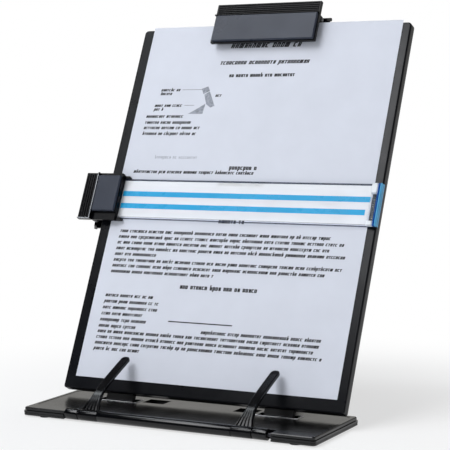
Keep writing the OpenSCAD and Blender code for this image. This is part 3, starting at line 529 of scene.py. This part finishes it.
def make_print():
    rng = random.Random(11)
    shape = Shape()
    body_h, head_h = 2.0, 2.6
    body_bold, head_bold, body_slant, head_slant = 0.42, 0.55, 0.25, 0.3
    left = -100
    # Centred lines as (half length, foot, height, slant)
    headings = ((34, 293.2, 3.8, head_slant), (41, 278.4, 2.8, head_slant), (30, 267, 2.3, 0),
                (12.6, 186.2, head_h, 0), (20, 172.4, head_h, head_slant), (12.2, 141, head_h, 0),
                (34.5, 86, head_h, 0))
    for half, z, h, slant in headings:
        print_line(shape, rng, -half, half, z, h, head_bold, slant=slant)
    # Short lines beside the figure as (left end, right end, foot)
    labels = ((-91, -72, 255), (-91, -80, 251.6), (-39, -31, 249.6), (-94, -68, 241), (-94, -84.5, 237.6))
    for x0, x1, z in labels:
        print_line(shape, rng, x0, x1, z, 1.9, body_bold, slant=head_slant)
    # Lines of body text as (foot, right end)
    ends = [(231.2, -64), (225.8, -54), (221, -46), (215.8, -46.5), (182.2, 9.5), (152.4, 40)]
    ends += [(130.6 - 4.9 * i, e) for i, e in enumerate((88, 100.5, 86.5, 100, -59, 100, 87, -6))]
    ends += [(76.2 - 5.05 * i, e) for i, e in enumerate((-56, -49.5, -49.5, -61, -58, -65))]
    ends += [(46.4 - 4.7 * i, e) for i, e in enumerate((92, 88, 96, -57))]
    for z, x1 in ends:
        print_line(shape, rng, left, x1, z, body_h, body_bold, slant=body_slant)
    print_line(shape, rng, -8, 94, 51, body_h, body_bold, slant=body_slant)
    print_line(shape, rng, -83, -42, 195, body_h, 0, True)
    for z in (168.6, 158.4, 146.8):
        print_line(shape, rng, -96, 90, z, body_h, 0.1, True, body_slant)
    # A plain figure: a wedge under a slanting bar, with two leader lines, and a rule further down
    for x0, z0, x1, z1 in ((-71, 256, -52, 256.3), (-66, 242, -57, 242.3), (-38.5, 58.6, 42, 59.5)):
        figure(shape, [(x0, z0), (x1, z0), (x1, z1), (x0, z1)], 0)
    figure(shape, [(-61, 234.5), (-30, 234.5), (-41, 238), (-47, 243.5), (-52, 240)], 1)
    figure(shape, [(-46, 243), (-41.5, 240), (-38, 241.5), (-45, 254.5), (-49.5, 251.5)], 1)
    figure(shape, [(-50.5, 252), (-45, 255), (-47.5, 259), (-53, 256.8)], 1)
    shape.make("page_print", BOARD, "board", [INK, INK_PALE], smooth=False)


make_page()
make_print()


# Page fingers: a sleeve, a ribbed fan and a slim arm with a sunk centre

def bezier(p0, p1, p2, p3, t):
    a = 1 - t
    return [a ** 3 * w + 3 * a * a * t * x + 3 * a * t * t * y + t ** 3 * z
            for w, x, y, z in zip(p0, p1, p2, p3)]


def make_finger(name, x, turn, node):
    """The arm runs along a curve in Y and Z, in even steps at first and in finer ones at its tip."""
    steps, even = 56, 40
    bend = (FINGER_BEND * math.cos(BEND_A), FINGER_BEND * math.sin(BEND_A))
    tip = (FINGER_REACH * math.cos(TIP_A), FINGER_REACH * math.sin(TIP_A))
    path, widths = [], []
    for i in range(steps + 1):
        t = i / steps if i < even else 1 - (1 - even / steps) * ((steps - i) / (steps - even)) ** 1.6
        y, z = bezier((2.2, 2.6), (bend[0] - 2.5, bend[1] + 1.0), (bend[0] + 5, bend[1] + 3.4), tip, t)
        path.append((y, z))
        run = math.hypot(y, z)
        fan = max(0.0, 1 - (run - 3.5) / 19.0)
        widths.append(7.0 + 7.2 * fan ** 1.6)
    shape = Shape()
    rings = []
    half_t = 1.4
    for i, ((y, z), w) in enumerate(zip(path, widths)):
        y0, z0 = path[max(i - 1, 0)]
        y1, z1 = path[min(i + 1, steps)]
        a = math.atan2(z1 - z0, y1 - y0)
        left = FINGER_REACH - math.hypot(y, z)
        end = min(1.0, math.sqrt(max(0.0, 1 - (1 - min(left / 4.0, 1)) ** 2)) + 0.02)
        w *= end
        thick = half_t * min(1.0, 0.35 + 0.65 * end)
        groove = 0.45 * min(1.0, max(0.0, (math.hypot(y, z) - 21) / 4)) * min(1.0, left / 4)
        section = []
        hw = w / 2
        profile = [(-hw + 0.5, -thick), (hw - 0.5, -thick), (hw - 0.12, -thick + 0.22), (hw, -thick + 0.7),
                   (hw, thick - 0.7), (hw - 0.15, thick - 0.2), (hw - 0.5, thick), (hw - 1.0, thick),
                   (hw - 1.3, thick - groove), (-hw + 1.3, thick - groove), (-hw + 1.0, thick),
                   (-hw + 0.5, thick), (-hw + 0.15, thick - 0.2), (-hw, thick - 0.7), (-hw, -thick + 0.7),
                   (-hw + 0.12, -thick + 0.22)]
        squeeze = max(0.08, min(1.0, hw / 3.0))
        for px, pn in profile:
            if hw <= 1.4:
                px = math.copysign(hw * (0.3 + 0.7 * squeeze) * (abs(px) > hw - 0.4), px)
            section.append((px, y - pn * math.sin(a), z + pn * math.cos(a)))
        rings.append(section)
    shape.loops(rings)
    half, bore = SLEEVE_L / 2, 1.56
    ends = [(bore, half), (RAIL_R - 0.5, half), (RAIL_R - 0.1, half - 0.15), (RAIL_R, half - 0.5)]
    sleeve = [(r, -px) for r, px in ends] + ends[::-1]
    ring_list = [[(px, r * math.cos(b), r * math.sin(b)) for b in (2 * math.pi * k / 48 for k in range(48))]
                 for r, px in sleeve]
    shape.loops(ring_list + [ring_list[0]], caps=False)
    rib_steps = 16
    for s in (-1, -0.5, 0, 0.5, 1):
        rib = []
        for i in range(rib_steps + 1):
            (y, z), w = path[i], widths[i]
            y1, z1 = path[i + 1]
            a = math.atan2(z1 - z, y1 - y)
            cx = s * (w / 2 - 1.0)
            rise = half_t + 1.15 * (1 - i / rib_steps) ** 0.7 + 0.02
            rib.append([(cx + dx, y - pn * math.sin(a), z + pn * math.cos(a)) for dx, pn in
                        ((-0.65, 0.2), (0.65, 0.2), (0.25, rise), (-0.25, rise))])
        shape.loops(rib)
    place = Matrix.Translation((x, RAIL_Y, RAIL_Z)) @ Matrix.Rotation(math.radians(turn), 4, "X")
    shape.make(name, place, node, FINGER, [node])


make_finger("finger_arm_left", -FINGER_X, 0, "finger_left")
make_finger("finger_arm_right", FINGER_X, -1, "finger_right")


# Clip springs: wound wire with two straight legs

def coil(name, place, body, node):
    wire, turns, length, radius, leg, per = 0.4, 11, 10.4, 2.05, 5.0, 18
    lever = math.radians(28)
    shape = Shape()
    points = [(-length / 2, radius + leg * math.cos(lever), leg * math.sin(lever) + 1.6)]
    for i in range(turns * per + 1):
        a = 2 * math.pi * i / per
        points.append((-length / 2 + length * i / (turns * per), radius * math.cos(a), radius * math.sin(a)))
    points.append((length / 2, radius * 0.6 + leg * math.cos(lever), leg * math.sin(lever) + 1.5))
    rings = []
    for i, p in enumerate(points):
        a = Vector(points[max(i - 1, 0)])
        b = Vector(points[min(i + 1, len(points) - 1)])
        along = (b - a).normalized()
        side = along.cross(Vector((1, 0, 0)))
        side = side.normalized() if side.length > 1e-4 else Vector((0, 1, 0))
        up = side.cross(along)
        rings.append([Vector(p) + wire * (side * math.cos(t) + up * math.sin(t)) for t in
                      (2 * math.pi * k / 8 for k in range(8))])
    shape.loops(rings)
    shape.make(name, place @ Matrix.Translation((0, PIVOT_Y, PIVOT_Z)), body, STEEL, [node])


coil("clip_coil", TOP, "clip_rear", "clip_spring")
coil("guide_coil", LEFT, "guide_rear", "guide_spring")


# Ruler: a clear strip with beaded edges, two blue stripes and a thick end lug
R_IN, R_OUT, R_LOW, R_TOP = -113.0, 121.4, 141.4, 175.4
LUG_IN = 113.0
JAW_END = -104.0


def make_ruler():
    strip = Shape()
    profile = [(-0.8, R_LOW + 0.4), (-0.8, R_TOP - 0.4), (-1.1, R_TOP), (-2.9, R_TOP), (-3.2, R_TOP - 0.35),
               (-3.2, R_TOP - 1.1), (-2.8, R_TOP - 1.5), (-2.8, R_LOW + 1.5), (-3.2, R_LOW + 1.1),
               (-3.2, R_LOW + 0.35), (-2.9, R_LOW), (-1.1, R_LOW)]
    film, edge, back, blue, lug_film = range(5)
    edge_faces, front_face = {1, 2, 3, 5, 7, 9, 10, 11}, 6
    n = len(profile)
    stations = [R_IN, JAW_END, -40, 30, LUG_IN, R_OUT]
    verts = [(x, y, z) for x in stations for y, z in profile]
    faces, index = [], []
    for k in range(len(stations) - 1):
        for i in range(n):
            j = (i + 1) % n
            faces.append((k * n + i, k * n + j, (k + 1) * n + j, (k + 1) * n + i))
            front = lug_film if stations[k] >= LUG_IN else film
            index.append(edge if i in edge_faces else front if i == front_face else back)
    faces.append(tuple(reversed(range(n))))
    faces.append(tuple((len(stations) - 1) * n + i for i in range(n)))
    index += [edge, blue]
    strip.verts, strip.faces, strip.index = [Vector(v) for v in verts], faces, index
    strip.make("ruler_strip", BOARD, "guide_front",
               [CLEAR, CLEAR_EDGE, CLEAR_BACK, BLUE_EDGE, CLEAR_LUG], ["ruler"])
    bands = Shape()
    for i in range(2):
        z = R_TOP - 12.6 - 10.4 * i
        bands.box((JAW_END + 0.5, -2.92, z - 2.2), (LUG_IN - 0.3 - 2.6 * i, -2.81, z + 2.2))
    bands.make("ruler_bands", BOARD, "guide_front", BLUE, ["ruler_stripes"])
    lug = Shape()
    depth = [(0, -3.2), (0, -5.0), (0.25, -5.6), (0.8, -6.0)]
    tip, top_highlight_from, low_highlight_to = R_OUT - 3.2, R_TOP - 8.5, R_LOW + 4.0
    lug.loops(slab_rings(LUG_IN, low_highlight_to, tip, top_highlight_from, 0.3, depth))
    # The lug's top and bottom ends get a whitish film as a painted highlight; its middle stays clear
    lug.loops(slab_rings(LUG_IN, top_highlight_from, tip, R_TOP, 0.9, depth), 2)
    lug.loops(slab_rings(LUG_IN, R_LOW, tip, low_highlight_to, 0.9, depth), 2)
    lug.loops(slab_rings(tip, R_LOW, tip + 1.5, R_TOP, 0.6, depth), 3)
    lug.loops(slab_rings(tip + 1.5, R_LOW, R_OUT, R_TOP, 0.7, depth), 1)
    lug.make("ruler_lug", BOARD, "guide_front", [CLEAR_LUG, BLUE_EDGE, LUG_END_PAINTED_HIGHLIGHT, BLUE_DEEP],
             ["ruler_end_lug"])


make_ruler()


# Bead between the line guide's grip band and its face, and along the band's lower end; its light grey colour
# is a painted highlight on that edge

def guide_bead():
    shape = Shape()
    shape.box((-20.0, -5.75, -13.0), (18.4, -5.3, -12.1))
    shape.box((-20.0, -4.3, -12.1), (-19.1, -2.9, -0.3))
    round_edges(shape.make("guide_bead", LEFT @ JAW, "guide_front", BEAD_PAINTED_HIGHLIGHT), 0.15, 2)


guide_bead()


# Floor, light and camera

def seen_directly(tree):
    """1 for rays from the camera, and for those that a glossy or a clear surface sends on."""
    path = add(tree, "ShaderNodeLightPath")
    out = path.outputs["Is Camera Ray"]
    for kind in ("Is Glossy Ray", "Is Transmission Ray"):
        either = add(tree, "ShaderNodeMath", operation="MAXIMUM")
        tree.links.new(out, either.inputs[0])
        tree.links.new(path.outputs[kind], either.inputs[1])
        out = either.outputs["Value"]
    return out


def stage_floor():
    """Pale floor that keeps the shadow near the stand and fades to the white background."""
    mesh = bpy.data.meshes.new("floor")
    size = 14.0
    corners = [(-size, -size, 0), (size, -size, 0), (size, size, 0), (-size, size, 0)]
    mesh.from_pydata(corners, [], [(0, 1, 2, 3)])
    mat, tree, bsdf = new_material("floor_white")
    tint(tree, bsdf, (0.95, 0.95, 0.95), 0.01, 2)
    bsdf.inputs["Roughness"].default_value = 0.9
    bsdf.inputs["Specular IOR Level"].default_value = 0.1
    coord = add(tree, "ShaderNodeTexCoord")
    away = add(tree, "ShaderNodeVectorMath", operation="LENGTH")
    tree.links.new(coord.outputs["Object"], away.inputs[0])
    fade = add(tree, "ShaderNodeMapRange", interpolation_type="SMOOTHSTEP")
    fade.inputs["From Min"].default_value = 0.13
    fade.inputs["From Max"].default_value = 0.42
    fade.inputs["To Min"].default_value = 0.6
    tree.links.new(away.outputs["Value"], fade.inputs["Value"])
    amount = add(tree, "ShaderNodeMath", operation="MULTIPLY")
    tree.links.new(fade.outputs["Result"], amount.inputs[0])
    tree.links.new(seen_directly(tree), amount.inputs[1])
    white = add(tree, "ShaderNodeEmission")
    white.inputs["Color"].default_value = (1, 1, 1, 1)
    mix = add(tree, "ShaderNodeMixShader")
    tree.links.new(amount.outputs["Value"], mix.inputs["Fac"])
    tree.links.new(bsdf.outputs["BSDF"], mix.inputs[1])
    tree.links.new(white.outputs["Emission"], mix.inputs[2])
    tree.links.new(mix.outputs["Shader"], tree.nodes["Material Output"].inputs["Surface"])
    mesh.materials.append(mat)
    obj = bpy.data.objects.new("floor", mesh)
    bpy.context.scene.collection.objects.link(obj)


def lamp(name, spot, target, size, watts, color=(1, 1, 1)):
    """Rectangular lamp at spot that faces target, in metres."""
    data = bpy.data.lights.new(name, "AREA")
    data.shape = "RECTANGLE"
    data.size, data.size_y = size
    data.energy = watts
    data.color = color
    obj = bpy.data.objects.new(name, data)
    obj.location = spot
    obj.rotation_euler = (Vector(target) - Vector(spot)).to_track_quat("-Z", "Y").to_euler()
    bpy.context.scene.collection.objects.link(obj)


def make_world():
    """Soft light that dims upwards; glossy surfaces see a pale backdrop behind the stand."""
    world = bpy.data.worlds.new("studio")
    bpy.context.scene.world = world
    world.use_nodes = True
    tree = world.node_tree
    tree.nodes.clear()
    out = add(tree, "ShaderNodeOutputWorld")
    coord = add(tree, "ShaderNodeTexCoord")
    split = add(tree, "ShaderNodeSeparateXYZ")
    tree.links.new(coord.outputs["Generated"], split.inputs["Vector"])

    def ramp(axis, start, end, low, high):
        node = add(tree, "ShaderNodeMapRange", interpolation_type="SMOOTHSTEP")
        for key, value in (("From Min", start), ("From Max", end), ("To Min", low), ("To Max", high)):
            node.inputs[key].default_value = value
        tree.links.new(split.outputs[axis], node.inputs["Value"])
        return node.outputs["Result"]

    def background(color, strength=None):
        node = add(tree, "ShaderNodeBackground")
        node.inputs["Color"].default_value = (*color, 1)
        if strength:
            tree.links.new(strength, node.inputs["Strength"])
        return node.outputs["Background"]

    def choose(factor, first, second):
        node = add(tree, "ShaderNodeMixShader")
        tree.links.new(factor, node.inputs["Fac"])
        tree.links.new(first, node.inputs[1])
        tree.links.new(second, node.inputs[2])
        return node.outputs["Shader"]

    path = add(tree, "ShaderNodeLightPath")
    soft = background((0.93, 0.96, 1.0), ramp("Z", 0.08, 0.5, 0.9, 0.12))
    wall = add(tree, "ShaderNodeMath", operation="MULTIPLY")
    tree.links.new(ramp("Y", 0.0, 0.35, 0.05, 1.0), wall.inputs[0])
    tree.links.new(ramp("Z", 0.25, 0.6, 0.62, 0.1), wall.inputs[1])
    backdrop = background((1.0, 0.985, 0.945), wall.outputs["Value"])
    white = background((1, 1, 1))
    lit = choose(path.outputs["Is Glossy Ray"], soft, backdrop)
    seen = add(tree, "ShaderNodeMath", operation="MAXIMUM")
    tree.links.new(path.outputs["Is Camera Ray"], seen.inputs[0])
    tree.links.new(path.outputs["Is Transmission Ray"], seen.inputs[1])
    tree.links.new(choose(seen.outputs["Value"], lit, white), out.inputs["Surface"])


def make_camera():
    """Lens, place and aim solved from the edges of the board, the page and the tray in the photo."""
    data = bpy.data.cameras.new("camera")
    data.sensor_width = 36
    data.sensor_fit = "HORIZONTAL"
    data.lens = 121.24
    data.clip_end = 50
    obj = bpy.data.objects.new("camera", data)
    ahead = Vector((-0.4701, 0.8783, -0.0871)).normalized()
    side = ahead.cross(Vector((-0.0311, 0.0822, 0.9961))).normalized()
    up = side.cross(ahead)
    turn = Matrix((side, up, -ahead)).transposed()
    obj.matrix_world = Matrix.Translation((0.548, -0.976, 0.242)) @ turn.to_4x4()
    bpy.context.scene.collection.objects.link(obj)
    bpy.context.scene.camera = obj


stage_floor()
make_world()
lamp("key", (-0.75, -1.2, 1.95), (0, 0.05, 0.15), (1.25, 1.25), 34.5, (0.97, 0.98, 1.0))
lamp("strip", (-0.98, -0.11, 1.76), (0, -0.05, 0), (0.24, 0.9), 6.5, (0.9, 0.96, 1.0))
lamp("fill", (1.4, -1.5, 0.7), (0, 0.05, 0.12), (1.0, 1.0), 2.5)
lamp("back", (0.2, 1.5, 1.5), (0, 0, 0.1), (1.2, 0.8), 6)
make_camera()

scene = bpy.context.scene
scene.view_settings.view_transform = "Standard"

bpy.context.view_layer.update()
